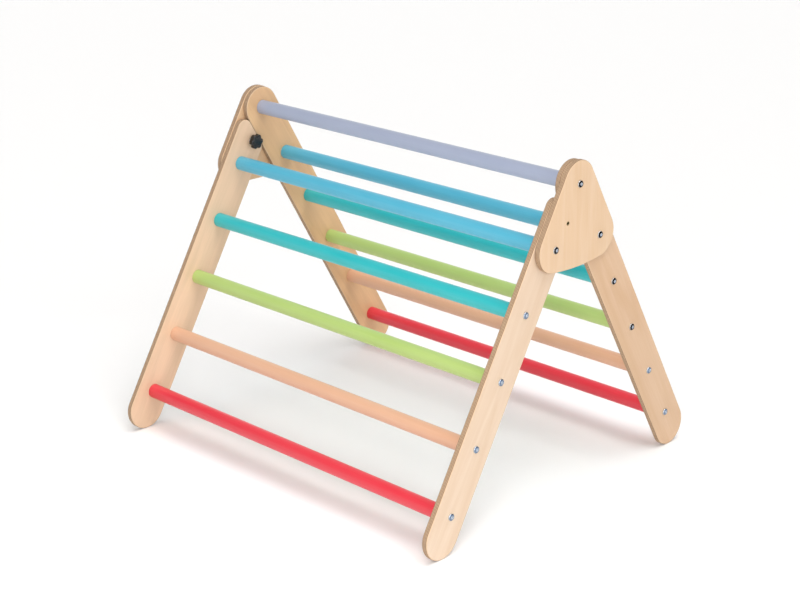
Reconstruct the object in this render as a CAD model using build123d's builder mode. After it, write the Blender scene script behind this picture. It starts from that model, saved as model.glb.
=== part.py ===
"""Folding climbing triangle for children: two ladders of painted round rungs that meet under
a pair of rounded head plates. The front ladder turns on a pivot bolt in each head plate and
folds against the rear ladder. A star knob inside each front leg clamps it to the plate.

Frame, millimetres: origin on the floor in the middle of the footprint, +Z up, +Y along the
rungs, -X to the front ladder. Seen from the front, the right end is at -Y."""
import os
from math import asin, cos, degrees, radians, sin, sqrt, tan

from build123d import *

# Ladders
RUNG_SPACING = 130.0
RUNGS_PER_LADDER = 5
RUNG_DIAMETER = 30.0
RUNG_LENGTH = 840.0
RUNG_END_CHAMFER = 0.8
LEG_ANGLE = 30.45
LEG_WIDTH = 87.0
LEG_BOARD = 12.0
FOOT_REACH = 41.0
EDGE_ROUND = 2.5

# Head plates
PLATE_BOARD = 12.0
PLATE_OVERLAP = 1.0
PLATE_BELLY = 4.0

# Top of the front legs, trimmed to bear on the rear legs
STOP_GAP = 0.2
TIP_RADIUS = 20.0
HEEL_RADIUS = 16.0

# Rung bolts, button head, and their sleeves in the rung ends
BOLT_DIAMETER = 8.0
BOLT_HEAD_DIAMETER = 14.0
BOLT_HEAD_HEIGHT = 4.0
BOLT_HEAD_BEVEL = 2.0
BOLT_SOCKET = 5.0
BOLT_SOCKET_DEPTH = 2.5
BOLT_GRIP = 24.0
BOLT_HOLE_PLAY = 0.25
INSERT_DIAMETER = 12.0
INSERT_LENGTH = 26.0
BORE_EXTRA = 3.0
SNUG_FIT = 0.05

# Pivots of the front legs
PIVOT_BUSH_WALL = 2.0
PIVOT_PLAY = 0.05
PIVOT_WASHER_DIAMETER = 24.0
PIVOT_WASHER = 0.6

# Lock knobs
LOCK_DISTANCE = 75.0
LOCK_OFFSET = 8.0
KNOB_DIAMETER = 32.0
KNOB_LOBES = 6
KNOB_SCALLOP = 5.5
KNOB_THICKNESS = 12.0
KNOB_EDGE_BEVEL = 1.6
KNOB_HUB_DIAMETER = 15.0
KNOB_HUB_HEIGHT = 6.0
STUD_DIAMETER = 6.0
STUD_HOLE_PLAY = 0.3
STUD_SET_BACK = 0.2
KNOB_WASHER_DIAMETER = 18.0
KNOB_WASHER = 1.2
LOCK_SLEEVE_WALL = 1.5

# Worked out from the sizes above
angle = radians(LEG_ANGLE)
half_leg = LEG_WIDTH / 2
half_rung = RUNG_LENGTH / 2
leg_reach = RUNGS_PER_LADDER * RUNG_SPACING + FOOT_REACH
apex_height = leg_reach * cos(angle) + half_leg
rung_radius = RUNG_DIAMETER / 2
plate_radius = half_leg + PLATE_OVERLAP
bolt_hole_radius = BOLT_DIAMETER / 2 + BOLT_HOLE_PLAY
bush_radius = BOLT_DIAMETER / 2 + PIVOT_PLAY + PIVOT_BUSH_WALL
sleeve_radius = STUD_DIAMETER / 2 + LOCK_SLEEVE_WALL
rung_places = [step * RUNG_SPACING for step in range(RUNGS_PER_LADDER + 1)]

# Distances out from the middle, along the rungs
inner_face = half_rung
leg_outer_face = inner_face + LEG_BOARD
plate_outer_face = leg_outer_face + PLATE_BOARD
front_inner_face = inner_face - PIVOT_WASHER


def leg_plane(side, distance):
    """Plane at a leg's face, origin at the apex, x down the leg; side is -1 front, 1 rear."""
    return Plane(
        origin=(0, -distance, apex_height),
        x_dir=(side * sin(angle), 0, -cos(angle)),
        z_dir=(0, -1, 0),
    )


def upright(distance):
    """Plane square to the rungs, x to the rear and y up, facing out of the right end."""
    return Plane.XZ.offset(distance)


def on_leg(side, along, across=0.0):
    """Point (x, z) at a distance down a leg's axis and across it, towards the other leg."""
    x = side * (along * sin(angle) - across * cos(angle))
    z = apex_height - along * cos(angle) - across * sin(angle)
    return (x, z)


rear, front = 1, -1
apex = on_leg(rear, 0)
rear_head = on_leg(rear, RUNG_SPACING)
pivot = on_leg(front, RUNG_SPACING)
lock = on_leg(front, LOCK_DISTANCE, LOCK_OFFSET)


def save(piece, name):
    piece.label = name
    export_step(piece, f"parts/{name}.step")


def save_pair(piece, name):
    """The right end's piece, and its mirror image at the left end."""
    save(piece, f"right_{name}")
    with BuildPart() as other:
        mirror(piece, about=Plane.XZ)
    save(other.part, f"left_{name}")


def save_both_ends(piece, name):
    """Identical small pieces of both ends in one node."""
    with BuildPart() as pieces:
        add(piece)
        mirror(piece, about=Plane.XZ)
    save(pieces.part, name)


def round_outline(board):
    """Softens the long edges of a board, all but the short ones through its thickness."""
    fillet(board.edges().filter_by(Axis.Y, reverse=True), radius=EDGE_ROUND)


os.makedirs("parts", exist_ok=True)

# Rear leg: a straight board with round ends, the upper one about the top rung
with BuildPart() as rear_leg:
    with BuildSketch(leg_plane(rear, inner_face)):
        with Locations((leg_reach / 2, 0)):
            SlotCenterToCenter(leg_reach, LEG_WIDTH)
    extrude(amount=LEG_BOARD)
    round_outline(rear_leg)
    with BuildSketch(leg_plane(rear, inner_face)):
        with Locations(*[(place, 0) for place in rung_places]):
            Circle(bolt_hole_radius)
    extrude(amount=LEG_BOARD, mode=Mode.SUBTRACT)
save_pair(rear_leg.part, "rear_leg")

# Front leg: the same board, its top cut parallel to the rear leg that it stops against
tip = (half_leg * tan(angle) + STOP_GAP / sin(2 * angle), -half_leg)
heel = (half_leg / tan(angle) + STOP_GAP / sin(2 * angle), half_leg)
with BuildPart() as front_leg:
    with BuildSketch(leg_plane(front, front_inner_face)) as front_outline:
        with BuildLine():
            Polyline(heel, tip, (leg_reach, -half_leg))
            ThreePointArc((leg_reach, -half_leg), (leg_reach + half_leg, 0), (leg_reach, half_leg))
            Line((leg_reach, half_leg), heel)
        make_face()
        corners = front_outline.vertices().sort_by(Axis.X)
        fillet(corners[0], radius=TIP_RADIUS)
        fillet(front_outline.vertices().sort_by_distance(heel)[0], radius=HEEL_RADIUS)
    extrude(amount=LEG_BOARD)
    round_outline(front_leg)
    with BuildSketch(leg_plane(front, front_inner_face)):
        with Locations(*[(place, 0) for place in rung_places[1:]]):
            Circle(bolt_hole_radius)
        with Locations((LOCK_DISTANCE, LOCK_OFFSET)):
            Circle(STUD_DIAMETER / 2 + STUD_HOLE_PLAY)
    extrude(amount=LEG_BOARD, mode=Mode.SUBTRACT)
save_pair(front_leg.part, "front_leg")

# Head plate: lobes about the apex, the rear bolt and the pivot, with a full lower edge
belly_reach = (rear_head[0] ** 2 + PLATE_BELLY**2) / (2 * PLATE_BELLY)
belly_centre = (0, pivot[1] + sqrt(belly_reach**2 - rear_head[0] ** 2))
belly_turn = degrees(asin(rear_head[0] / belly_reach))
lobe_sweep = 90 + LEG_ANGLE - belly_turn
with BuildPart() as head_plate:
    with BuildSketch(upright(leg_outer_face)):
        with BuildLine():
            top = CenterArc(apex, plate_radius, LEG_ANGLE, 180 - 2 * LEG_ANGLE)
            front_lobe = CenterArc(pivot, plate_radius, 180 - LEG_ANGLE, lobe_sweep)
            CenterArc(belly_centre, belly_reach + plate_radius, 270 - belly_turn, 2 * belly_turn)
            rear_lobe = CenterArc(rear_head, plate_radius, 270 + belly_turn, lobe_sweep)
            Line(top @ 1, front_lobe @ 0)
            Line(rear_lobe @ 1, top @ 0)
        make_face()
    extrude(amount=PLATE_BOARD)
    round_outline(head_plate)
    with BuildSketch(upright(leg_outer_face)):
        with Locations(apex, rear_head):
            Circle(bolt_hole_radius)
        with Locations(pivot):
            Circle(bush_radius)
        with Locations(lock):
            Circle(sleeve_radius)
    extrude(amount=PLATE_BOARD, mode=Mode.SUBTRACT)
save_pair(head_plate.part, "head_plate")


def make_rung(name, centre, end):
    """Round rung between two end planes, with a blind bore for the sleeve in each end."""
    with BuildPart() as rung:
        with BuildSketch(upright(-end)):
            with Locations(centre):
                Circle(rung_radius)
        extrude(amount=2 * end)
        chamfer(rung.edges().filter_by(GeomType.CIRCLE), length=RUNG_END_CHAMFER)
        for face in (upright(end), upright(-end)):
            inwards = -1 if face.origin.Y < 0 else 1
            with BuildSketch(face):
                with Locations(centre):
                    Circle(INSERT_DIAMETER / 2)
            extrude(amount=inwards * (INSERT_LENGTH + BORE_EXTRA), mode=Mode.SUBTRACT)
    save(rung.part, name)


make_rung("top_rung", apex, inner_face)
for number in range(1, RUNGS_PER_LADDER + 1):
    make_rung(f"rear_rung_{number}", on_leg(rear, rung_places[number]), inner_face)
    make_rung(f"front_rung_{number}", on_leg(front, rung_places[number]), front_inner_face)


def save_inserts(name, centres, end):
    """Threaded sleeves, flush with the rung ends."""
    with BuildPart() as inserts:
        with BuildSketch(upright(end)):
            with Locations(*centres):
                Circle(INSERT_DIAMETER / 2 - SNUG_FIT)
                Circle(BOLT_DIAMETER / 2, mode=Mode.SUBTRACT)
        extrude(amount=-INSERT_LENGTH)
    save_both_ends(inserts.part, name)


rear_centres = [on_leg(rear, place) for place in rung_places]
front_centres = [on_leg(front, place) for place in rung_places[1:]]
save_inserts("rear_rung_inserts", rear_centres, inner_face)
save_inserts("front_rung_inserts", front_centres, front_inner_face)


def save_bolts(name, centres, seat, tip_face):
    """Button-head bolts with a hexagon socket, from their seat into the sleeves."""
    with BuildPart() as bolts:
        with BuildSketch(upright(seat)):
            with Locations(*centres):
                Circle(BOLT_HEAD_DIAMETER / 2)
        extrude(amount=BOLT_HEAD_HEIGHT)
        crowns = bolts.faces().filter_by(Axis.Y).group_by(Axis.Y)[0]
        chamfer(crowns.edges(), length=BOLT_HEAD_BEVEL)
        with BuildSketch(upright(seat + BOLT_HEAD_HEIGHT)):
            with Locations(*centres):
                RegularPolygon(BOLT_SOCKET / 2, 6, major_radius=False)
        extrude(amount=-BOLT_SOCKET_DEPTH, mode=Mode.SUBTRACT)
        with BuildSketch(upright(seat)):
            with Locations(*centres):
                Circle(BOLT_DIAMETER / 2 - SNUG_FIT)
        extrude(amount=tip_face - seat)
    save_both_ends(bolts.part, name)


rear_tip = inner_face - BOLT_GRIP
front_tip = front_inner_face - BOLT_GRIP
save_bolts("head_plate_bolts", rear_centres[:2], plate_outer_face, rear_tip)
save_bolts("rear_leg_bolts", rear_centres[2:], leg_outer_face, rear_tip)
save_bolts("pivot_bolts", [pivot], plate_outer_face, front_tip)
save_bolts("front_leg_bolts", front_centres[1:], leg_outer_face - PIVOT_WASHER, front_tip)

# Plain bushes in the head plates, in which the pivot bolts turn
with BuildPart() as pivot_bush:
    with BuildSketch(upright(leg_outer_face)):
        with Locations(pivot):
            Circle(bush_radius - SNUG_FIT)
            Circle(BOLT_DIAMETER / 2 - SNUG_FIT + PIVOT_PLAY, mode=Mode.SUBTRACT)
    extrude(amount=PLATE_BOARD)
save_both_ends(pivot_bush.part, "pivot_bushes")

# Thin washers that keep the front legs off the head plates
with BuildPart() as pivot_washer:
    with BuildSketch(upright(leg_outer_face - PIVOT_WASHER)):
        with Locations(pivot):
            Circle(PIVOT_WASHER_DIAMETER / 2)
            Circle(bolt_hole_radius, mode=Mode.SUBTRACT)
    extrude(amount=PIVOT_WASHER)
save_both_ends(pivot_washer.part, "pivot_washers")

# Threaded sleeves in the head plates for the lock studs
with BuildPart() as lock_sleeve:
    with BuildSketch(upright(leg_outer_face)):
        with Locations(lock):
            Circle(sleeve_radius - SNUG_FIT)
            Circle(STUD_DIAMETER / 2, mode=Mode.SUBTRACT)
    extrude(amount=PLATE_BOARD)
save_both_ends(lock_sleeve.part, "lock_sleeves")

# Washer under each knob, on the inner face of the front leg
with BuildPart() as knob_washer:
    with BuildSketch(upright(front_inner_face - KNOB_WASHER)):
        with Locations(lock):
            Circle(KNOB_WASHER_DIAMETER / 2)
            Circle(STUD_DIAMETER / 2 + STUD_HOLE_PLAY, mode=Mode.SUBTRACT)
    extrude(amount=KNOB_WASHER)
save_pair(knob_washer.part, "knob_washer")

# Star knob: a scalloped disc on a round hub, with bevelled edges
hub_seat = front_inner_face - KNOB_WASHER
star_seat = hub_seat - KNOB_HUB_HEIGHT
knob_top = star_seat - KNOB_THICKNESS
with BuildPart() as lock_knob:
    with BuildSketch(upright(star_seat)):
        with Locations(lock):
            Circle(KNOB_DIAMETER / 2)
            with PolarLocations(KNOB_DIAMETER / 2 + KNOB_SCALLOP / 2, KNOB_LOBES):
                Circle(KNOB_SCALLOP, mode=Mode.SUBTRACT)
    extrude(amount=-KNOB_THICKNESS)
    chamfer(lock_knob.edges().filter_by(Axis.Y, reverse=True), length=KNOB_EDGE_BEVEL)
    with BuildSketch(upright(star_seat)):
        with Locations(lock):
            Circle(KNOB_HUB_DIAMETER / 2)
    extrude(amount=KNOB_HUB_HEIGHT)
    with BuildSketch(upright(hub_seat)):
        with Locations(lock):
            Circle(STUD_DIAMETER / 2)
    extrude(amount=-KNOB_HUB_HEIGHT, mode=Mode.SUBTRACT)
save_pair(lock_knob.part, "lock_knob")

# Steel stud moulded into the knob, through the front leg
with BuildPart() as knob_stud:
    with BuildSketch(upright(star_seat)):
        with Locations(lock):
            Circle(STUD_DIAMETER / 2 - SNUG_FIT)
    extrude(amount=leg_outer_face - PIVOT_WASHER - STUD_SET_BACK - star_seat)
save_pair(knob_stud.part, "knob_stud")
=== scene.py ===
"""Folding climbing triangle: finishes of its boards, rungs and metal, its bolts, studs and star
knobs in full detail, and the floor, light and camera around them.

Lengths are in metres, in the same frame as the CAD model: +Z up, +Y along the rungs, -X to the
front ladder. Seen from the front, the right end is at -Y."""
from math import cos, pi, radians, sin, sqrt

import bmesh
import bpy
from mathutils import Matrix, Vector


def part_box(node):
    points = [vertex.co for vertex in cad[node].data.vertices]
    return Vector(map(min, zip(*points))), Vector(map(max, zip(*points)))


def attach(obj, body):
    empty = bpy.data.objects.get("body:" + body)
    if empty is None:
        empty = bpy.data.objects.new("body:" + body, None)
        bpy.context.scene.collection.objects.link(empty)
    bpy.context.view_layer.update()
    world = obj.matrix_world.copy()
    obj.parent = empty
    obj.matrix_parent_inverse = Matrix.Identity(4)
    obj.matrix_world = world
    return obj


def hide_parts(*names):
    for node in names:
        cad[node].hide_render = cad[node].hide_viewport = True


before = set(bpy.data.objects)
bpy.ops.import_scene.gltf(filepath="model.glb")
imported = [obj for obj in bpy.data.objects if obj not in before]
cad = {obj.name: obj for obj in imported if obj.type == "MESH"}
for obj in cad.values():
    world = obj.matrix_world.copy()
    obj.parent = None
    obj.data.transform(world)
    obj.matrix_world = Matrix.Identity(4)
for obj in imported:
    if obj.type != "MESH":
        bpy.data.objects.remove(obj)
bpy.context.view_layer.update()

MM = 0.001
LADDER_ANGLE = radians(30.45)
RUNGS = 5
ENDS = {"right": -1, "left": 1}
SHARP_ANGLE = radians(38)

# Birch plywood, with how deep under a face the plies end and the veneer begins; between the two, a
# thin dark line shows along the board's edges, painted shade of the seams where boards meet
BOARD = 12.0 * MM
PLIES = 9
PLIES_END = 0.35 * MM
VENEER_BEGINS = 0.05 * MM

# Bolt heads
HEAD_RADIUS = 7.0 * MM
HEAD_EDGE = 0.35 * MM
HEAD_RIM = 1.1 * MM
# A band this wide at the crown's edge, with the skirt and the socket, gets bright zinc: painted
# highlight.
PAINTED_HIGHLIGHT_RIM = 0.25 * MM
HEAD_HEIGHT = 4.0 * MM
FLAT_TOP_RADIUS = 3.9 * MM
LIP_RADIUS = 3.1 * MM
LIP_DEPTH = 0.25 * MM
SOCKET_RADIUS = 2.5 * MM
SOCKET_DEPTH = 2.5 * MM
DRILL_POINT = 0.6 * MM

# Bolt shanks
SHANK_RADIUS = 3.95 * MM
SHANK_BEVEL = 0.8 * MM
PLATE_SHANK = 48.0 * MM
PIVOT_SHANK = 48.6 * MM
LEG_SHANK = 36.0 * MM

# Star knobs
STAR_RADIUS = 16.0 * MM
STAR_LOBES = 6
SCALLOP_RADIUS = 5.5 * MM
SCALLOP_CENTRE = STAR_RADIUS + SCALLOP_RADIUS / 2
HUB_RADIUS = 7.5 * MM
HUB_HEIGHT = 6.0 * MM
HUB_BEVEL = 0.6 * MM
HUB_FILLET = 1.0 * MM
UNDER_ROUND = 1.8 * MM
TOP_ROUND = 2.6 * MM
DOME_RISE = 0.9 * MM
KNOB_HEIGHT = 18.0 * MM

# Rings of the dome: how far the star has passed into a circle, its radius, share of the rise
DOME_RINGS = [
    (0.35, 10.0 * MM, 0.38),
    (0.70, 7.5 * MM, 0.66),
    (1.0, 5.0 * MM, 0.86),
    (1.0, 2.5 * MM, 0.96),
]

# Knob studs
STUD_RADIUS = 2.95 * MM
STUD_CLEARANCE = 0.05 * MM
THREAD_PITCH = 1.0 * MM
THREAD_DEPTH = 0.45 * MM
STUD_COLUMNS = 32
ROWS_PER_TURN = 8


# Node trees

def add_node(tree, kind, inputs=None, **settings):
    """New node with its settings; an input is given a value or the socket that feeds it."""
    node = tree.nodes.new(kind)
    for name, value in settings.items():
        setattr(node, name, value)
    for socket, value in (inputs or {}).items():
        if isinstance(value, bpy.types.NodeSocket):
            tree.links.new(value, node.inputs[socket])
        else:
            node.inputs[socket].default_value = value
    return node


def math_node(tree, operation, *values):
    inputs = dict(enumerate(values))
    return add_node(tree, "ShaderNodeMath", inputs, operation=operation).outputs[0]


def vector_math(tree, operation, *values):
    inputs = dict(enumerate(values))
    return add_node(tree, "ShaderNodeVectorMath", inputs, operation=operation).outputs[0]


def mix_colours(tree, amount, first, second):
    """Colour between two; the Mix node's colours are inputs 6 and 7 and output 2."""
    inputs = {"Factor": amount, 6: first, 7: second}
    return add_node(tree, "ShaderNodeMix", inputs, data_type="RGBA").outputs[2]


def map_range(tree, value, low, high, to_low=0.0, to_high=1.0):
    inputs = {
        "Value": value,
        "From Min": low,
        "From Max": high,
        "To Min": to_low,
        "To Max": to_high,
    }
    return add_node(tree, "ShaderNodeMapRange", inputs).outputs["Result"]


def noise(tree, vector, scale, detail=2.0, roughness=0.5, distortion=0.0):
    inputs = {
        "Vector": vector,
        "Scale": scale,
        "Detail": detail,
        "Roughness": roughness,
        "Distortion": distortion,
    }
    return add_node(tree, "ShaderNodeTexNoise", inputs).outputs["Fac"]


def new_group(name, kind, sockets):
    """Empty node group; a socket is named with its type, a default value or None, and its way."""
    tree = bpy.data.node_groups.new(name, kind)
    for label, socket_type, default, way in sockets:
        socket = tree.interface.new_socket(label, in_out=way, socket_type=socket_type)
        if default is not None:
            socket.default_value = default
    start = tree.nodes.new("NodeGroupInput")
    end = tree.nodes.new("NodeGroupOutput")
    return tree, start.outputs, end.inputs


SKIN_OUTPUTS = [
    ("Colour", "NodeSocketColor", None, "OUTPUT"),
    ("Roughness", "NodeSocketFloat", None, "OUTPUT"),
    ("Height", "NodeSocketFloat", None, "OUTPUT"),
]


def make_plywood_group():
    """Rotary-cut birch on the faces, and the plies where the board's thickness shows."""
    tree, given, out = new_group(
        "birch_plywood_build",
        "ShaderNodeTree",
        [
            ("Outer Veneer", "NodeSocketColor", None, "INPUT"),
            ("Inner Veneer", "NodeSocketColor", None, "INPUT"),
            ("Figure", "NodeSocketColor", None, "INPUT"),
            ("Long Ply", "NodeSocketColor", None, "INPUT"),
            ("Cross Ply", "NodeSocketColor", None, "INPUT"),
            ("Grain Turn", "NodeSocketFloat", 0.0, "INPUT"),
            ("Inner Face", "NodeSocketFloat", 0.42, "INPUT"),
            *SKIN_OUTPUTS,
        ],
    )
    place = add_node(tree, "ShaderNodeTexCoord").outputs["Object"]
    along_grain = add_node(
        tree,
        "ShaderNodeVectorRotate",
        {"Vector": place, "Angle": given["Grain Turn"]},
        rotation_type="Y_AXIS",
    ).outputs[0]
    wavy = vector_math(tree, "MULTIPLY", along_grain, (1.0, 1.0, 0.10))
    fibrous = vector_math(tree, "MULTIPLY", along_grain, (1.0, 1.0, 0.025))

    across = add_node(tree, "ShaderNodeSeparateXYZ", {"Vector": place}).outputs["Y"]
    depth = math_node(
        tree, "SUBTRACT", math_node(tree, "ABSOLUTE", across), given["Inner Face"]
    )
    is_outer = math_node(tree, "GREATER_THAN", depth, BOARD / 2)
    veneer = mix_colours(tree, is_outer, given["Inner Veneer"], given["Outer Veneer"])

    figure = noise(tree, wavy, 26.0, detail=3.0, roughness=0.55, distortion=0.9)
    fibre = noise(tree, fibrous, 420.0, roughness=0.6)
    pores = noise(tree, fibrous, 1500.0, detail=1.0)
    figure_amount = map_range(tree, figure, 0.36, 0.72, to_high=0.75)
    fibre_amount = map_range(tree, fibre, 0.35, 0.75, to_high=0.28)
    pore_amount = map_range(tree, pores, 0.66, 0.80, to_high=0.45)
    face = mix_colours(tree, figure_amount, veneer, given["Figure"])
    face = mix_colours(tree, fibre_amount, face, given["Figure"])
    face = mix_colours(tree, pore_amount, face, given["Long Ply"])

    ply = math_node(tree, "MULTIPLY", depth, PLIES / BOARD)
    odd = math_node(tree, "PINGPONG", math_node(tree, "FLOOR", ply), 1.0)
    # Glue lines between the plies are dark. The one at each face, where the board has no glue,
    # draws a thin dark line along the board's edges: painted shade of the seams where boards meet.
    in_ply = math_node(tree, "FRACT", ply)
    from_glue = math_node(tree, "PINGPONG", in_ply, 0.5)
    glue_and_painted_seam_shade = map_range(tree, from_glue, 0.0, 0.14, to_low=0.70, to_high=0.0)
    layered = vector_math(tree, "MULTIPLY", along_grain, (1.0, 6.0, 0.3))
    streaks = noise(tree, layered, 160.0, detail=3.0)
    streak_amount = map_range(tree, streaks, 0.3, 0.75, to_high=0.22)
    edge = mix_colours(tree, odd, given["Long Ply"], given["Cross Ply"])
    edge = mix_colours(tree, streak_amount, edge, given["Cross Ply"])
    edge = mix_colours(tree, glue_and_painted_seam_shade, edge, given["Cross Ply"])

    from_middle = math_node(tree, "ABSOLUTE", math_node(tree, "SUBTRACT", depth, BOARD / 2))
    on_face = map_range(tree, from_middle, BOARD / 2 - PLIES_END, BOARD / 2 - VENEER_BEGINS)
    on_edge = math_node(tree, "SUBTRACT", 1.0, on_face)
    base_roughness = map_range(tree, on_face, 0.0, 1.0, to_low=0.66, to_high=0.44)
    fibre_roughness = map_range(tree, fibre, 0.3, 0.8, to_low=-0.03, to_high=0.07)
    grain_relief = math_node(tree, "SUBTRACT", fibre, math_node(tree, "MULTIPLY", pores, 0.35))
    ply_relief = math_node(tree, "MULTIPLY", math_node(tree, "MULTIPLY", from_glue, 1.6), on_edge)
    tree.links.new(mix_colours(tree, on_face, edge, face), out["Colour"])
    tree.links.new(math_node(tree, "ADD", base_roughness, fibre_roughness), out["Roughness"])
    tree.links.new(math_node(tree, "ADD", grain_relief, ply_relief), out["Height"])
    return tree


def make_paint_group():
    """Satin paint on turned beech: thin enough for the grain to show along the rung."""
    tree, given, out = new_group(
        "satin_paint",
        "ShaderNodeTree",
        [
            ("Paint", "NodeSocketColor", None, "INPUT"),
            ("Thin Paint", "NodeSocketColor", None, "INPUT"),
            *SKIN_OUTPUTS,
        ],
    )
    place = add_node(tree, "ShaderNodeTexCoord").outputs["Object"]
    along_grain = vector_math(tree, "MULTIPLY", place, (1.0, 0.03, 1.0))
    along_brush = vector_math(tree, "MULTIPLY", place, (1.0, 0.35, 1.0))
    grain = noise(tree, along_grain, 330.0, detail=3.0, roughness=0.6)
    coats = noise(tree, along_brush, 18.0, detail=3.0)
    peel = noise(tree, place, 420.0)
    grain_amount = map_range(tree, grain, 0.45, 0.75, to_high=0.35)
    coat_amount = map_range(tree, coats, 0.35, 0.7, to_high=0.30)
    paint = mix_colours(tree, grain_amount, given["Paint"], given["Thin Paint"])
    paint = mix_colours(tree, coat_amount, paint, given["Thin Paint"])
    roughness = map_range(tree, coats, 0.3, 0.7, to_low=0.34, to_high=0.42)
    grain_relief = math_node(tree, "MULTIPLY", grain, 0.7)
    tree.links.new(paint, out["Colour"])
    tree.links.new(roughness, out["Roughness"])
    tree.links.new(math_node(tree, "ADD", grain_relief, peel), out["Height"])
    return tree


def make_cast_group():
    """Metal or moulded plastic: a base colour with clouds of a second one and fine marks."""
    tree, given, out = new_group(
        "clouded_skin",
        "ShaderNodeTree",
        [
            ("Base", "NodeSocketColor", None, "INPUT"),
            ("Cloud", "NodeSocketColor", None, "INPUT"),
            ("Cloud Scale", "NodeSocketFloat", 300.0, "INPUT"),
            ("Mark Scale", "NodeSocketFloat", 2500.0, "INPUT"),
            ("Smoothest", "NodeSocketFloat", 0.2, "INPUT"),
            ("Roughest", "NodeSocketFloat", 0.4, "INPUT"),
            *SKIN_OUTPUTS,
        ],
    )
    place = add_node(tree, "ShaderNodeTexCoord").outputs["Object"]
    clouds = noise(tree, place, given["Cloud Scale"], detail=3.0, roughness=0.6)
    marks = noise(tree, place, given["Mark Scale"])
    cloud_amount = map_range(tree, clouds, 0.35, 0.7)
    base = mix_colours(tree, cloud_amount, given["Base"], given["Cloud"])
    spread = math_node(tree, "SUBTRACT", given["Roughest"], given["Smoothest"])
    roughness = math_node(tree, "MULTIPLY_ADD", clouds, spread, given["Smoothest"])
    tree.links.new(base, out["Colour"])
    tree.links.new(roughness, out["Roughness"])
    tree.links.new(marks, out["Height"])
    return tree


plywood_group = make_plywood_group()
paint_group = make_paint_group()
cast_group = make_cast_group()


# Materials

def make_material(name, skin, values, shine, bump, bump_depth=0.1 * MM):
    """Material whose colour, roughness and relief come from a skin group."""
    material = bpy.data.materials.new(name)
    material.use_nodes = True
    tree = material.node_tree
    shader = tree.nodes["Principled BSDF"]
    surface = add_node(tree, "ShaderNodeGroup", values, node_tree=skin)
    relief = add_node(
        tree,
        "ShaderNodeBump",
        {"Height": surface.outputs["Height"], "Strength": bump, "Distance": bump_depth},
    )
    tree.links.new(surface.outputs["Colour"], shader.inputs["Base Color"])
    tree.links.new(surface.outputs["Roughness"], shader.inputs["Roughness"])
    tree.links.new(relief.outputs["Normal"], shader.inputs["Normal"])
    for socket, value in shine.items():
        shader.inputs[socket].default_value = value
    return material


def colour(red, green, blue):
    return (red, green, blue, 1.0)


def make_birch(name, outer, inner, figure, grain_turn, inner_face):
    return make_material(
        name,
        plywood_group,
        {
            "Outer Veneer": colour(*outer),
            "Inner Veneer": colour(*inner),
            "Figure": colour(*figure),
            "Long Ply": colour(0.620, 0.440, 0.290),
            "Cross Ply": colour(0.200, 0.115, 0.060),
            "Grain Turn": grain_turn,
            "Inner Face": inner_face,
        },
        {"Specular IOR Level": 0.35},
        bump=0.16,
    )


def make_paint(name, paint, thin_paint):
    values = {"Paint": colour(*paint), "Thin Paint": colour(*thin_paint)}
    shine = {"Specular IOR Level": 0.5, "Coat Weight": 0.12, "Coat Roughness": 0.25}
    return make_material(name, paint_group, values, shine, bump=0.10)


def make_cast(name, base, cloud, cloud_scale, mark_scale, roughness, shine, bump=0.1):
    smoothest, roughest = roughness
    values = {
        "Base": colour(*base),
        "Cloud": colour(*cloud),
        "Cloud Scale": cloud_scale,
        "Mark Scale": mark_scale,
        "Smoothest": smoothest,
        "Roughest": roughest,
    }
    return make_material(name, cast_group, values, shine, bump, 0.03 * MM)


def inner_face_of(node):
    """How far from the middle the board of a right-hand node begins."""
    return abs(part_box(node)[1].y)


# The boards' veneers differ partly in their own tone and partly in painted light: the front legs'
# paler veneer is painted light, for the stronger light falling on them, and the rear legs' darker,
# more saturated veneer is painted shade.
rear_leg_birch_tone_and_painted_shade = make_birch(
    "rear_leg_birch_tone_and_painted_shade",
    outer=(0.600, 0.415, 0.275),
    inner=(0.680, 0.440, 0.235),
    figure=(0.520, 0.325, 0.185),
    grain_turn=LADDER_ANGLE,
    inner_face=inner_face_of("right_rear_leg"),
)
front_leg_birch_tone_and_painted_light = make_birch(
    "front_leg_birch_tone_and_painted_light",
    outer=(0.660, 0.520, 0.400),
    inner=(0.740, 0.520, 0.360),
    figure=(0.580, 0.415, 0.280),
    grain_turn=-LADDER_ANGLE,
    inner_face=inner_face_of("right_front_leg"),
)
head_plate_birch = make_birch(
    "head_plate_birch",
    outer=(0.650, 0.475, 0.325),
    inner=(0.640, 0.420, 0.250),
    figure=(0.590, 0.390, 0.225),
    grain_turn=0.0,
    inner_face=inner_face_of("right_head_plate"),
)

rung_paints = {
    "top": make_paint("lavender_paint", (0.320, 0.360, 0.480), (0.375, 0.410, 0.520)),
    1: make_paint("sky_blue_paint", (0.075, 0.400, 0.560), (0.125, 0.470, 0.620)),
    2: make_paint("turquoise_paint", (0.022, 0.430, 0.460), (0.060, 0.500, 0.520)),
    3: make_paint("lime_green_paint", (0.400, 0.540, 0.155), (0.470, 0.590, 0.220)),
    4: make_paint("peach_paint", (0.670, 0.375, 0.240), (0.720, 0.450, 0.310)),
    5: make_paint("coral_red_paint", (0.680, 0.032, 0.052), (0.720, 0.065, 0.085)),
}

METAL = {"Metallic": 1.0}
# Pale zinc for the studs and washers; on the bolts' rims and sockets it is painted highlight.
bright_zinc_and_painted_highlight = make_cast(
    "bright_zinc_and_painted_highlight",
    base=(0.66, 0.70, 0.76),
    cloud=(0.76, 0.79, 0.82),
    cloud_scale=350,
    mark_scale=2600,
    roughness=(0.24, 0.42),
    shine=METAL,
)
blue_zinc = make_cast(
    "blue_zinc",
    base=(0.13, 0.18, 0.27),
    cloud=(0.24, 0.31, 0.42),
    cloud_scale=350,
    mark_scale=2600,
    roughness=(0.14, 0.30),
    shine=METAL,
)
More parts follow.
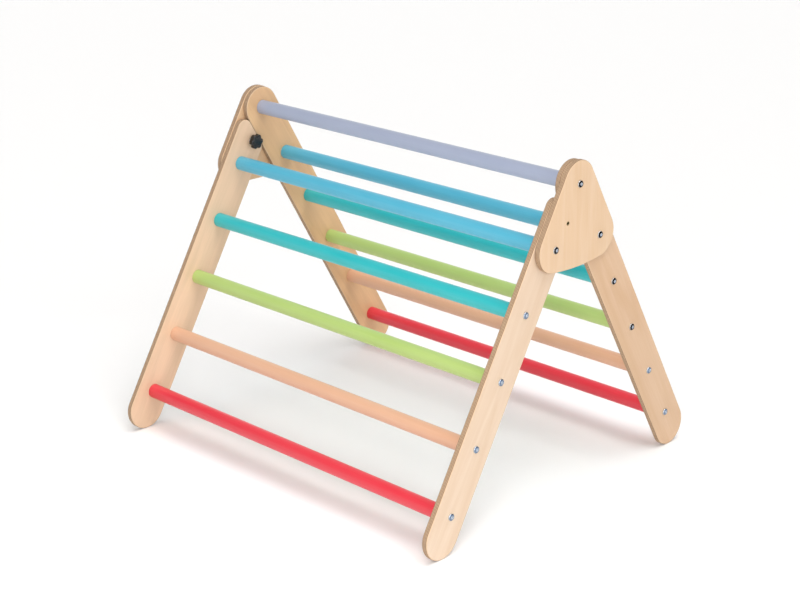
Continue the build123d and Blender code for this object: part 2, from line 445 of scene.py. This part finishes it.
# A near-black copy of the blue zinc, for the crowns of the upper bolts: painted dark reflection.
painted_dark_reflection_zinc = make_cast(
    "painted_dark_reflection_zinc",
    base=(0.008, 0.009, 0.012),
    cloud=(0.018, 0.020, 0.026),
    cloud_scale=350,
    mark_scale=2600,
    roughness=(0.14, 0.30),
    shine=METAL,
)
brass = make_cast(
    "machined_brass",
    base=(0.40, 0.30, 0.15),
    cloud=(0.50, 0.39, 0.22),
    cloud_scale=300,
    mark_scale=2600,
    roughness=(0.22, 0.40),
    shine=METAL,
)
nylon = make_cast(
    "natural_nylon",
    base=(0.72, 0.70, 0.64),
    cloud=(0.66, 0.63, 0.56),
    cloud_scale=120,
    mark_scale=900,
    roughness=(0.40, 0.55),
    shine={},
)
black_plastic = make_cast(
    "black_moulded_plastic",
    base=(0.004, 0.004, 0.0045),
    cloud=(0.008, 0.008, 0.009),
    cloud_scale=250,
    mark_scale=1800,
    roughness=(0.18, 0.32),
    shine={"Specular IOR Level": 0.5},
    bump=0.18,
)

for end in ENDS:
    cad[f"{end}_rear_leg"].material_slots[0].material = rear_leg_birch_tone_and_painted_shade
    cad[f"{end}_front_leg"].material_slots[0].material = front_leg_birch_tone_and_painted_light
    cad[f"{end}_head_plate"].material_slots[0].material = head_plate_birch
    cad[f"{end}_knob_washer"].material_slots[0].material = bright_zinc_and_painted_highlight
cad["top_rung"].material_slots[0].material = rung_paints["top"]
for number in range(1, RUNGS + 1):
    for ladder in ("rear", "front"):
        cad[f"{ladder}_rung_{number}"].material_slots[0].material = rung_paints[number]
for node in ("rear_rung_inserts", "front_rung_inserts", "lock_sleeves"):
    cad[node].material_slots[0].material = brass
for node in ("pivot_bushes", "pivot_washers"):
    cad[node].material_slots[0].material = nylon


# Meshes

def turned(name, rings, around):
    """Closed mesh about Z from rings of (radius, height); a radius may depend on the angle."""
    mesh_maker = bmesh.new()
    loops = []
    for radius, height in rings:
        if radius == 0:
            loops.append([mesh_maker.verts.new((0, 0, height))])
            continue
        loop = []
        for step in range(around):
            turn = 2 * pi * step / around
            reach = radius(turn) if callable(radius) else radius
            loop.append(mesh_maker.verts.new((reach * cos(turn), reach * sin(turn), height)))
        loops.append(loop)
    for lower, upper in zip(loops, loops[1:]):
        for step in range(around):
            after = (step + 1) % around
            if len(lower) == 1:
                mesh_maker.faces.new((lower[0], upper[after], upper[step]))
            elif len(upper) == 1:
                mesh_maker.faces.new((lower[step], lower[after], upper[0]))
            else:
                mesh_maker.faces.new((lower[step], lower[after], upper[after], upper[step]))
    bmesh.ops.recalc_face_normals(mesh_maker, faces=mesh_maker.faces)
    for face in mesh_maker.faces:
        face.smooth = True
    for edge in mesh_maker.edges:
        edge.smooth = edge.calc_face_angle(0) < SHARP_ANGLE
    mesh = bpy.data.meshes.new(name)
    mesh_maker.to_mesh(mesh)
    mesh_maker.free()
    return mesh


def new_object(name, mesh):
    piece = bpy.data.objects.new(name, mesh)
    bpy.context.scene.collection.objects.link(piece)
    return piece


def quarter_round(start, end, steps, outwards_first):
    """Quarter of an ellipse from start to end, which leaves along the first axis or the second."""
    points = []
    for step in range(steps + 1):
        turn = pi / 2 * step / steps
        early = sin(turn)
        late = 1 - cos(turn)
        first, second = (early, late) if outwards_first else (late, early)
        points.append((
            start[0] + (end[0] - start[0]) * first,
            start[1] + (end[1] - start[1]) * second,
        ))
    return points


def socket_wall(turn):
    """Radius of the hexagon socket at an angle."""
    from_flat = (turn + pi / 6) % (pi / 3) - pi / 6
    return SOCKET_RADIUS / cos(from_flat)


def make_bolt_mesh(shank_length):
    """Button-head bolt, its seat at the origin and its head towards +Z."""
    socket_floor = HEAD_HEIGHT - SOCKET_DEPTH
    crown = quarter_round(
        (HEAD_RADIUS, HEAD_RIM), (FLAT_TOP_RADIUS, HEAD_HEIGHT), steps=7, outwards_first=False
    )
    rings = [
        (0, -shank_length),
        (SHANK_RADIUS - SHANK_BEVEL, -shank_length),
        (SHANK_RADIUS, -shank_length + SHANK_BEVEL),
        (SHANK_RADIUS, 0.0),
        (HEAD_RADIUS - HEAD_EDGE, 0.0),
        (HEAD_RADIUS, HEAD_EDGE),
        *crown,
        (LIP_RADIUS, HEAD_HEIGHT),
        (socket_wall, HEAD_HEIGHT - LIP_DEPTH),
        (socket_wall, socket_floor),
        (0, socket_floor - DRILL_POINT),
    ]
    mesh = turned("button_head_bolt", rings, around=48)
    # Crown faces stop short of the edge band; the band, the skirt, the lip and the socket get
    # bright zinc, a painted highlight.
    crown_faces = mesh.attributes.new("crown", "BOOLEAN", "FACE")
    for face, flag in zip(mesh.polygons, crown_faces.data):
        above_rim = face.center.z > HEAD_RIM
        flag.value = above_rim and LIP_RADIUS < face.center.xy.length < HEAD_RADIUS - PAINTED_HIGHLIGHT_RIM
    return mesh


def make_bolt_tree():
    """Bolts on given places, each turned at random about its own axis; the first ones get dark
    crowns, a painted dark reflection, and every rim and socket is bright zinc, a painted
    highlight.
    """
    tree, given, out = new_group(
        "rung_bolts",
        "GeometryNodeTree",
        [
            ("Places", "NodeSocketGeometry", None, "INPUT"),
            ("Bolt", "NodeSocketObject", None, "INPUT"),
            ("Painted Dark Reflection Bolts", "NodeSocketInt", 0, "INPUT"),
            ("Painted Dark Reflection Crown", "NodeSocketMaterial", None, "INPUT"),
            ("Light Crown", "NodeSocketMaterial", None, "INPUT"),
            ("Painted Highlight Rim and Socket", "NodeSocketMaterial", None, "INPUT"),
            ("Turn Seed", "NodeSocketInt", 1, "INPUT"),
            ("Bolts", "NodeSocketGeometry", None, "OUTPUT"),
        ],
    )
    place = add_node(tree, "GeometryNodeInputPosition").outputs[0]
    across = add_node(tree, "ShaderNodeSeparateXYZ", {"Vector": place}).outputs["Y"]
    outwards = add_node(
        tree, "ShaderNodeCombineXYZ", {"Y": math_node(tree, "SIGN", across)}
    ).outputs[0]
    facing = add_node(
        tree, "FunctionNodeAlignRotationToVector", {"Vector": outwards}, axis="Z"
    )
    # Inputs 2 and 3 and output 1 are the Random Value node's floats.
    turn = add_node(
        tree,
        "FunctionNodeRandomValue",
        {2: 0.0, 3: 2 * pi, "Seed": given["Turn Seed"]},
        data_type="FLOAT",
    ).outputs[1]
    spin = add_node(
        tree, "FunctionNodeAxisAngleToRotation", {"Axis": (0, 0, 1), "Angle": turn}
    )
    rotation = add_node(
        tree,
        "FunctionNodeRotateRotation",
        {"Rotation": facing.outputs[0], "Rotate By": spin.outputs[0]},
        rotation_space="LOCAL",
    )
    bolt = add_node(
        tree, "GeometryNodeObjectInfo", {"Object": given["Bolt"], "As Instance": True}
    )
    index = add_node(tree, "GeometryNodeInputIndex").outputs[0]
    # Inputs 2 and 3 are the Compare node's whole numbers.
    has_painted_dark_reflection = add_node(
        tree,
        "FunctionNodeCompare",
        {2: index, 3: given["Painted Dark Reflection Bolts"]},
        data_type="INT",
        operation="LESS_THAN",
    )
    bolts = add_node(
        tree,
        "GeometryNodeInstanceOnPoints",
        {
            "Points": given["Places"],
            "Instance": bolt.outputs["Geometry"],
            "Rotation": rotation.outputs[0],
        },
    )
    marked = add_node(
        tree,
        "GeometryNodeStoreNamedAttribute",
        {"Geometry": bolts.outputs["Instances"], "Name": "dark", "Value": has_painted_dark_reflection.outputs[0]},
        data_type="BOOLEAN",
        domain="INSTANCE",
    )
    finished = add_node(
        tree, "GeometryNodeRealizeInstances", {"Geometry": marked.outputs[0]}
    )
    crown = add_node(
        tree, "GeometryNodeInputNamedAttribute", {"Name": "crown"}, data_type="BOOLEAN"
    ).outputs[0]
    dark = add_node(
        tree, "GeometryNodeInputNamedAttribute", {"Name": "dark"}, data_type="BOOLEAN"
    ).outputs[0]
    painted_dark_reflection_crown = add_node(
        tree, "FunctionNodeBooleanMath", {0: crown, 1: dark}, operation="AND"
    ).outputs[0]
    finishes = {"Painted Highlight Rim and Socket": True, "Light Crown": crown, "Painted Dark Reflection Crown": painted_dark_reflection_crown}
    for finish, faces in finishes.items():
        finished = add_node(
            tree,
            "GeometryNodeSetMaterial",
            {"Geometry": finished.outputs[0], "Selection": faces, "Material": given[finish]},
        )
    tree.links.new(finished.outputs[0], out["Bolts"])
    return tree


def run_tree(piece, tree, values):
    """Puts a tree on a piece, gives it its inputs by name and keeps the result as plain mesh."""
    modifier = piece.modifiers.new(tree.name, "NODES")
    modifier.node_group = tree
    keys = {item.name: item.identifier for item in tree.interface.items_tree}
    for name, value in values.items():
        modifier[keys[name]] = value
    depsgraph = bpy.context.evaluated_depsgraph_get()
    result = bpy.data.meshes.new_from_object(piece.evaluated_get(depsgraph))
    # A mesh that starts without a material keeps an empty first slot.
    if result.materials[0] is None:
        result.materials.pop(index=0)
    piece.modifiers.remove(modifier)
    piece.data = result
    return piece


bolt_tree = make_bolt_tree()


def add_bolts(name, node, body, rungs, board, shank_length, dark, seed):
    """Bolts on the outer faces of a pair of boards at the rungs' centres, for a CAD node."""
    seat = abs(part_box(board)[0].y)
    places = []
    for rung in rungs:
        low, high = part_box(rung)
        middle = (low + high) / 2
        places += [Vector((middle.x, side * seat, middle.z)) for side in ENDS.values()]
    points = bpy.data.meshes.new(name)
    points.from_pydata(places, [], [])
    bolt = new_object("bolt_pattern", make_bolt_mesh(shank_length))
    piece = run_tree(
        new_object(name, points),
        bolt_tree,
        {
            "Bolt": bolt,
            "Painted Dark Reflection Bolts": dark,
            "Painted Dark Reflection Crown": painted_dark_reflection_zinc,
            "Light Crown": blue_zinc,
            "Painted Highlight Rim and Socket": bright_zinc_and_painted_highlight,
            "Turn Seed": seed,
        },
    )
    bpy.data.objects.remove(bolt)
    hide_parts(node)
    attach(piece, body)


# dark is how many bolts of a row, from its first, get dark crowns: painted dark reflection.
add_bolts(
    "head_plate_button_bolts",
    node="head_plate_bolts",
    body="rear_frame",
    rungs=["top_rung", "rear_rung_1"],
    board="right_head_plate",
    shank_length=PLATE_SHANK,
    dark=4,
    seed=3,
)
add_bolts(
    "rear_leg_button_bolts",
    node="rear_leg_bolts",
    body="rear_frame",
    rungs=[f"rear_rung_{number}" for number in range(2, RUNGS + 1)],
    board="right_rear_leg",
    shank_length=LEG_SHANK,
    dark=4,
    seed=5,
)
add_bolts(
    "pivot_button_bolts",
    node="pivot_bolts",
    body="front_frame",
    rungs=["front_rung_1"],
    board="right_head_plate",
    shank_length=PIVOT_SHANK,
    dark=2,
    seed=7,
)
add_bolts(
    "front_leg_button_bolts",
    node="front_leg_bolts",
    body="front_frame",
    rungs=[f"front_rung_{number}" for number in range(2, RUNGS + 1)],
    board="right_front_leg",
    shank_length=LEG_SHANK,
    dark=0,
    seed=11,
)


# Star knobs and threaded studs

def star_outline(inset):
    """Radius of the knob's scalloped outline at an angle, moved inwards by an inset."""
    lobe = STAR_RADIUS - inset
    scallop = SCALLOP_RADIUS + inset

    def reach(turn):
        from_scallop = (turn + pi / STAR_LOBES) % (2 * pi / STAR_LOBES) - pi / STAR_LOBES
        aside = SCALLOP_CENTRE * sin(from_scallop)
        if abs(aside) >= scallop:
            return lobe
        return min(lobe, SCALLOP_CENTRE * cos(from_scallop) - sqrt(scallop**2 - aside**2))

    return reach


def softened(outline, spread=radians(5), samples=7):
    """The same outline with its corners rounded, by averaging over a small turn."""
    def reach(turn):
        total = 0.0
        weights = 0.0
        for sample in range(samples):
            offset = 2 * sample / (samples - 1) - 1
            weight = 1.05 - abs(offset)
            total += weight * outline(turn + offset * spread)
            weights += weight
        return total / weights

    return reach


def blended(outline, radius, share):
    """The outline, drawn by a share towards a circle."""
    return lambda turn: (1 - share) * outline(turn) + share * radius


def make_knob_mesh(name):
    """Star knob on its hub, the hub's seat at the origin and the star towards +Z."""
    bore = STUD_RADIUS + STUD_CLEARANCE
    shoulder = KNOB_HEIGHT - DOME_RISE
    rings = [
        (0, HUB_HEIGHT),
        (bore, HUB_HEIGHT),
        (bore, 0.0),
        (HUB_RADIUS - HUB_BEVEL, 0.0),
        (HUB_RADIUS, HUB_BEVEL),
        (HUB_RADIUS, HUB_HEIGHT - HUB_FILLET),
        (HUB_RADIUS + 0.3 * HUB_FILLET, HUB_HEIGHT - 0.3 * HUB_FILLET),
        (HUB_RADIUS + HUB_FILLET, HUB_HEIGHT),
    ]
    under_side = quarter_round(
        (UNDER_ROUND, HUB_HEIGHT), (0.0, HUB_HEIGHT + UNDER_ROUND), steps=5, outwards_first=True
    )
    upper_side = quarter_round(
        (0.0, shoulder - TOP_ROUND), (TOP_ROUND, shoulder), steps=7, outwards_first=False
    )
    for inset, height in under_side + upper_side:
        rings.append((softened(star_outline(inset)), height))
    rim = softened(star_outline(TOP_ROUND))
    for share, radius, rise in DOME_RINGS:
        rings.append((blended(rim, radius, share), shoulder + rise * DOME_RISE))
    rings.append((0, KNOB_HEIGHT))
    return turned(name, rings, around=144)


def make_stud_tree():
    """Threaded rod from a flat grid, wound into a helix along +Z with bevelled ends."""
    tree, given, out = new_group(
        "threaded_stud",
        "GeometryNodeTree",
        [
            ("Length", "NodeSocketFloat", 0.019, "INPUT"),
            ("Radius", "NodeSocketFloat", 0.003, "INPUT"),
            ("Pitch", "NodeSocketFloat", 0.001, "INPUT"),
            ("Thread Depth", "NodeSocketFloat", 0.0004, "INPUT"),
            ("Finish", "NodeSocketMaterial", None, "INPUT"),
            ("Stud", "NodeSocketGeometry", None, "OUTPUT"),
        ],
    )
    turns = math_node(tree, "DIVIDE", given["Length"], given["Pitch"])
    rows = math_node(tree, "MULTIPLY_ADD", turns, ROWS_PER_TURN, 1.0)
    grid = add_node(
        tree,
        "GeometryNodeMeshGrid",
        {"Size X": 1.0, "Size Y": 1.0, "Vertices X": STUD_COLUMNS + 1, "Vertices Y": rows},
    )
    place = add_node(tree, "GeometryNodeInputPosition").outputs[0]
    flat = add_node(tree, "ShaderNodeSeparateXYZ", {"Vector": place}).outputs
    share = math_node(tree, "ADD", flat["X"], 0.5)
    turn = math_node(tree, "MULTIPLY", share, 2 * pi)
    along = math_node(tree, "MULTIPLY", math_node(tree, "ADD", flat["Y"], 0.5), given["Length"])
    winding = math_node(tree, "SUBTRACT", math_node(tree, "DIVIDE", along, given["Pitch"]), share)
    groove = math_node(tree, "MULTIPLY", math_node(tree, "PINGPONG", winding, 0.5), 2.0)
    cut = math_node(tree, "MULTIPLY", groove, given["Thread Depth"])
    thread = math_node(tree, "SUBTRACT", given["Radius"], cut)
    to_end = math_node(
        tree, "MINIMUM", along, math_node(tree, "SUBTRACT", given["Length"], along)
    )
    end_cut = math_node(tree, "MULTIPLY", given["Thread Depth"], 1.4)
    end_radius = math_node(tree, "SUBTRACT", given["Radius"], end_cut)
    bevelled = math_node(tree, "MINIMUM", thread, math_node(tree, "ADD", end_radius, to_end))
    # The first and last rows shrink to a point, and the merge closes the ends.
    is_inside = math_node(tree, "GREATER_THAN", to_end, 0.01 * MM)
    radius = math_node(tree, "MULTIPLY", bevelled, is_inside)
    wound = add_node(
        tree,
        "ShaderNodeCombineXYZ",
        {
            "X": math_node(tree, "MULTIPLY", radius, math_node(tree, "COSINE", turn)),
            "Y": math_node(tree, "MULTIPLY", radius, math_node(tree, "SINE", turn)),
            "Z": along,
        },
    )
    moved = add_node(
        tree,
        "GeometryNodeSetPosition",
        {"Geometry": grid.outputs["Mesh"], "Position": wound.outputs[0]},
    )
    closed = add_node(
        tree,
        "GeometryNodeMergeByDistance",
        {"Geometry": moved.outputs[0], "Distance": 0.002 * MM},
    )
    whole = add_node(tree, "GeometryNodeRealizeInstances", {"Geometry": closed.outputs[0]})
    finished = add_node(
        tree,
        "GeometryNodeSetMaterial",
        {"Geometry": whole.outputs[0], "Material": given["Finish"]},
    )
    tree.links.new(finished.outputs[0], out["Stud"])
    return tree


stud_tree = make_stud_tree()
for end, side in ENDS.items():
    low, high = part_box(f"{end}_lock_knob")
    middle = Vector(((low.x + high.x) / 2, 0.0, (low.z + high.z) / 2))
    knob_seat = side * max(abs(low.y), abs(high.y))
    knob = new_object(f"{end}_star_knob", make_knob_mesh(f"{end}_star_knob"))
    towards_middle = Vector((0, -side, 0)).to_track_quat("Z", "X").to_matrix().to_4x4()
    knob.data.transform(Matrix.Translation(middle + Vector((0, knob_seat, 0))) @ towards_middle)
    knob.data.materials.append(black_plastic)
    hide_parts(f"{end}_lock_knob")
    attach(knob, f"{end}_knob")

    low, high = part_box(f"{end}_knob_stud")
    stud_tip = side * max(abs(low.y), abs(high.y))
    stud = run_tree(
        new_object(f"{end}_threaded_stud", bpy.data.meshes.new(f"{end}_threaded_stud")),
        stud_tree,
        {
            "Length": high.y - low.y,
            "Radius": STUD_RADIUS,
            "Pitch": THREAD_PITCH,
            "Thread Depth": THREAD_DEPTH,
            "Finish": bright_zinc_and_painted_highlight,
        },
    )
    stud.data.transform(Matrix.Translation(middle + Vector((0, stud_tip, 0))) @ towards_middle)
    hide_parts(f"{end}_knob_stud")
    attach(stud, f"{end}_knob")


# Floor, light and camera

def make_floor():
    """Wide white floor, which isn't part of the object."""
    half = 15.0
    mesh = bpy.data.meshes.new("studio_floor")
    corners = [(-half, -half, 0), (half, -half, 0), (half, half, 0), (-half, half, 0)]
    mesh.from_pydata(corners, [], [(0, 1, 2, 3)])
    floor = new_object("studio_floor", mesh)
    material = bpy.data.materials.new("white_studio_floor")
    material.use_nodes = True
    tree = material.node_tree
    shader = tree.nodes["Principled BSDF"]
    place = add_node(tree, "ShaderNodeTexCoord").outputs["Object"]
    roughness = map_range(tree, noise(tree, place, 3.0), 0.3, 0.7, to_low=0.75, to_high=0.85)
    tree.links.new(roughness, shader.inputs["Roughness"])
    shader.inputs["Base Color"].default_value = colour(0.94, 0.94, 0.945)
    shader.inputs["Specular IOR Level"].default_value = 0.1
    floor.data.materials.append(material)


def make_surround():
    """White studio walls, dimmer towards the ceiling."""
    world = bpy.data.worlds.new("white_studio")
    world.use_nodes = True
    tree = world.node_tree
    direction = add_node(tree, "ShaderNodeTexCoord").outputs["Generated"]
    height = add_node(tree, "ShaderNodeSeparateXYZ", {"Vector": direction}).outputs["Z"]
    surround = tree.nodes["Background"]
    surround.inputs["Color"].default_value = colour(0.97, 0.98, 1.0)
    brightness = map_range(tree, height, 0.10, 0.45, to_low=1.0, to_high=0.12)
    tree.links.new(brightness, surround.inputs["Strength"])
    bpy.context.scene.world = world


def add_softbox(name, towards, strength, spread, tint):
    """Wide, distant light that shines from a direction."""
    light = bpy.data.lights.new(name, "SUN")
    light.energy = strength
    light.angle = radians(spread)
    light.color = tint
    lamp = new_object(name, light)
    lamp.rotation_mode = "QUATERNION"
    lamp.rotation_quaternion = Vector(towards).to_track_quat("Z", "Y")


def add_near_softbox(name, place, aim, width, watts, tint):
    """Square light at a place, aimed at a point."""
    light = bpy.data.lights.new(name, "AREA")
    light.size = width
    light.energy = watts
    light.color = tint
    lamp = new_object(name, light)
    lamp.location = place
    lamp.rotation_mode = "QUATERNION"
    lamp.rotation_quaternion = (Vector(place) - Vector(aim)).to_track_quat("Z", "Y")


make_floor()
make_surround()
add_softbox(
    "overhead_softbox", (0.0, -0.20, 1.0), strength=2.25, spread=55, tint=(1.0, 0.99, 0.97)
)
add_softbox(
    "right_softbox", (-0.10, -1.0, 0.50), strength=0.80, spread=40, tint=(1.0, 0.98, 0.95)
)
add_softbox(
    "back_softbox", (0.70, 1.0, 0.55), strength=0.40, spread=60, tint=(1.0, 0.98, 0.96)
)
add_near_softbox(
    "front_right_softbox",
    place=(-1.8, -1.4, 1.1),
    aim=(-0.3, -0.4, 0.3),
    width=0.9,
    watts=23.0,
    tint=(1.0, 0.99, 0.97),
)
bpy.context.scene.view_settings.view_transform = "Standard"

CAMERA_PLACE = Vector((-2.430, -2.310, 1.518))
CAMERA_AIM = Vector((0.0, 0.01, 0.300))
camera_data = bpy.data.cameras.new("photo_side_camera")
camera_data.lens = 78.0
camera_data.sensor_width = 36.0
camera = new_object("photo_side_camera", camera_data)
camera.location = CAMERA_PLACE
camera.rotation_mode = "QUATERNION"
camera.rotation_quaternion = (CAMERA_PLACE - CAMERA_AIM).to_track_quat("Z", "Y")
bpy.context.scene.camera = camera
